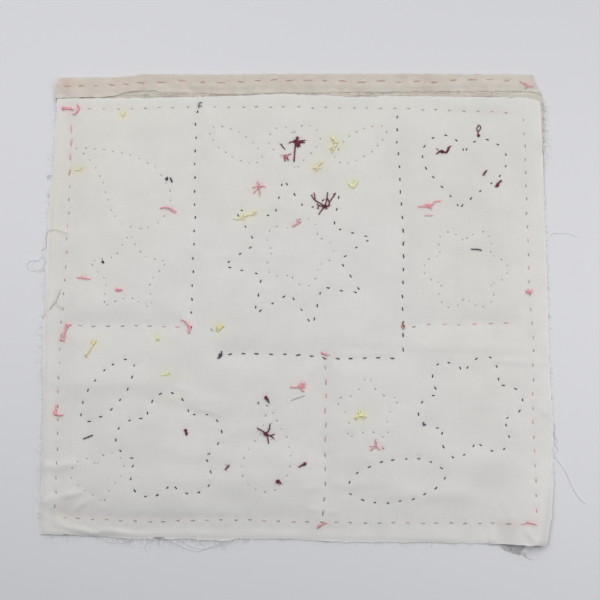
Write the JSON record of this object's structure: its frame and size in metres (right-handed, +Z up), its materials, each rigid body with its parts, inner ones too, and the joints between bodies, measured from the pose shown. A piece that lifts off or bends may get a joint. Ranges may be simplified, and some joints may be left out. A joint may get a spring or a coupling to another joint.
{
  "type": "quilt block",
  "caption": "Square patchwork quilt block lying face down, its top edge turned over as a hem, with a white lining sewn on in running stitch.",
  "frame": {"origin": "middle of the block's box, on the surface it lies on", "axes": "+Z up, +Y towards the hemmed edge, +X to the right of someone facing the hem from the other side"},
  "size_m": [0.3098, 0.2946, 0.0076],
  "materials": {
    "face_cotton": "matt undyed cotton, plain weave",
    "lining_cotton": "matt off-white cotton, plain weave"
  },
  "bodies": {
    "root": {"face_cloth": "face_cotton", "lining": "lining_cotton"}
  },
  "joints": []
}
